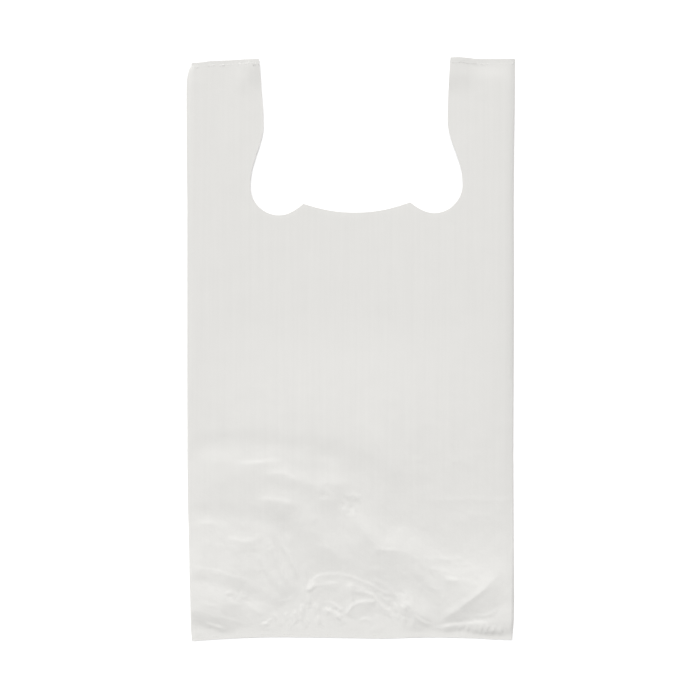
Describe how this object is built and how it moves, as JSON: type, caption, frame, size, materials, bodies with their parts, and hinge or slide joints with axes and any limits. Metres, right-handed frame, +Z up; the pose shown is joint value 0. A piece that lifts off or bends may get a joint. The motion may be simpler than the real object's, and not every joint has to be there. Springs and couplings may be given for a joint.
{
  "type": "plastic carrier bag",
  "caption": "Empty vest carrier bag of thin white film, lying flat, with side gussets, a sealed bottom and loop handles.",
  "frame": {"origin": "centre of the bag's outline, on the surface that it lies on", "axes": "+Y from the bottom seal to the handles, +Z up through the film, +X to the right seen from above"},
  "size_m": [0.3, 0.533, 0.0109],
  "materials": {
    "film": "thin white HDPE film, slightly see-through, soft satin"
  },
  "bodies": {
    "root": {"carrier_bag": "film"}
  },
  "joints": []
}
